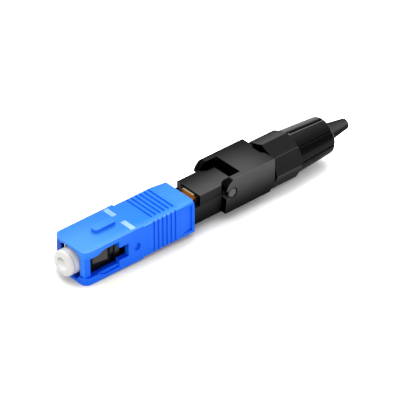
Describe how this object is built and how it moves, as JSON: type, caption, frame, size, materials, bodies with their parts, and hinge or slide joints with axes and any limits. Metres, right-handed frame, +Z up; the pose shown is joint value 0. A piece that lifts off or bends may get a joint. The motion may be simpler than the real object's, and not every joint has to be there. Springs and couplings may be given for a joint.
{
  "type": "field installable sc fibre optic connector",
  "caption": "Blue push-pull SC plug with side windows and ribbed grip, amber splice under a sliding lock, flip clamp lever, fluted screw nut, boot and white dust cap.",
  "frame": {"origin": "on the ferrule's axis, in the plane of the grip housing's front edge", "axes": "+X along the ferrule's axis from the mating face to the cable boot, +Z up on the key's side, +Y to the right seen from the rear"},
  "size_m": [0.0725, 0.01, 0.01],
  "materials": {
    "grip_blue": "moulded blue plastic, satin",
    "mark_pale": "pale printed mark",
    "frame_grey": "dark grey moulded plastic",
    "ceramic_white": "polished zirconia",
    "holder_metal": "nickel plated",
    "spring_steel": "bright spring steel",
    "fibre_glass": "bare glass fibre",
    "splice_amber": "translucent amber plastic",
    "body_black": "black moulded plastic",
    "lock_black": "black moulded plastic",
    "lever_black": "black moulded plastic",
    "nut_black": "black moulded plastic, satin",
    "boot_black": "black flexible plastic",
    "cap_white": "white soft plastic"
  },
  "bodies": {
    "frame": {"main_body": "body_black", "plug_frame": "frame_grey", "spring_stop": "body_black", "fibre_guide": "body_black"},
    "grip": {"outer_housing": "grip_blue", "index_mark_near": "mark_pale", "index_mark_far": "mark_pale"},
    "splice": {"ferrule": "ceramic_white", "ferrule_holder": "holder_metal", "ferrule_spring": "spring_steel", "fibre_stub": "fibre_glass", "splice_base": "splice_amber", "splice_lid": "splice_amber", "splice_clip": "spring_steel"},
    "cap": {"dust_cap": "cap_white"},
    "lock": {"lock_slider": "lock_black"},
    "lever": {"clamp_lever": "lever_black"},
    "boot": {"strain_boot": "boot_black"},
    "nut": {"screw_nut": "nut_black"}
  },
  "joints": [
    {"name": "grip_slide", "type": "slide", "parent": "frame", "child": "grip", "axis": [1, 0, 0], "range_m": [0, 0.0009]},
    {"name": "ferrule_float", "type": "slide", "parent": "frame", "child": "splice", "axis": [1, 0, 0], "range_m": [0, 0.0008], "stiffness_N_per_m": 100, "springref_m": -0.005, "deforming": ["ferrule_spring"]},
    {"name": "cap_pull", "type": "slide", "parent": "splice", "child": "cap", "axis": [-1, 0, 0], "range_m": [0, 0.011]},
    {"name": "lock_slide", "type": "slide", "parent": "frame", "child": "lock", "axis": [-1, 0, 0], "range_m": [0, 0.0013]},
    {"name": "lever_swing", "type": "hinge", "parent": "frame", "child": "lever", "pos_m": [0.0365, 0, 0.00125], "axis": [0, -1, 0], "range_deg": [0, 95]},
    {"name": "boot_travel", "type": "slide", "parent": "frame", "child": "boot", "axis": [1, 0, 0], "range_m": [0, 0.00375]},
    {"name": "nut_turn", "type": "hinge", "parent": "boot", "child": "nut", "pos_m": [0.056, 0, 0], "axis": [1, 0, 0], "range_deg": [0, 1080]}
  ],
  "couplings": [
    {"joint": "nut_turn", "follows": "boot_travel", "rad_per_m": 5026.5}
  ]
}
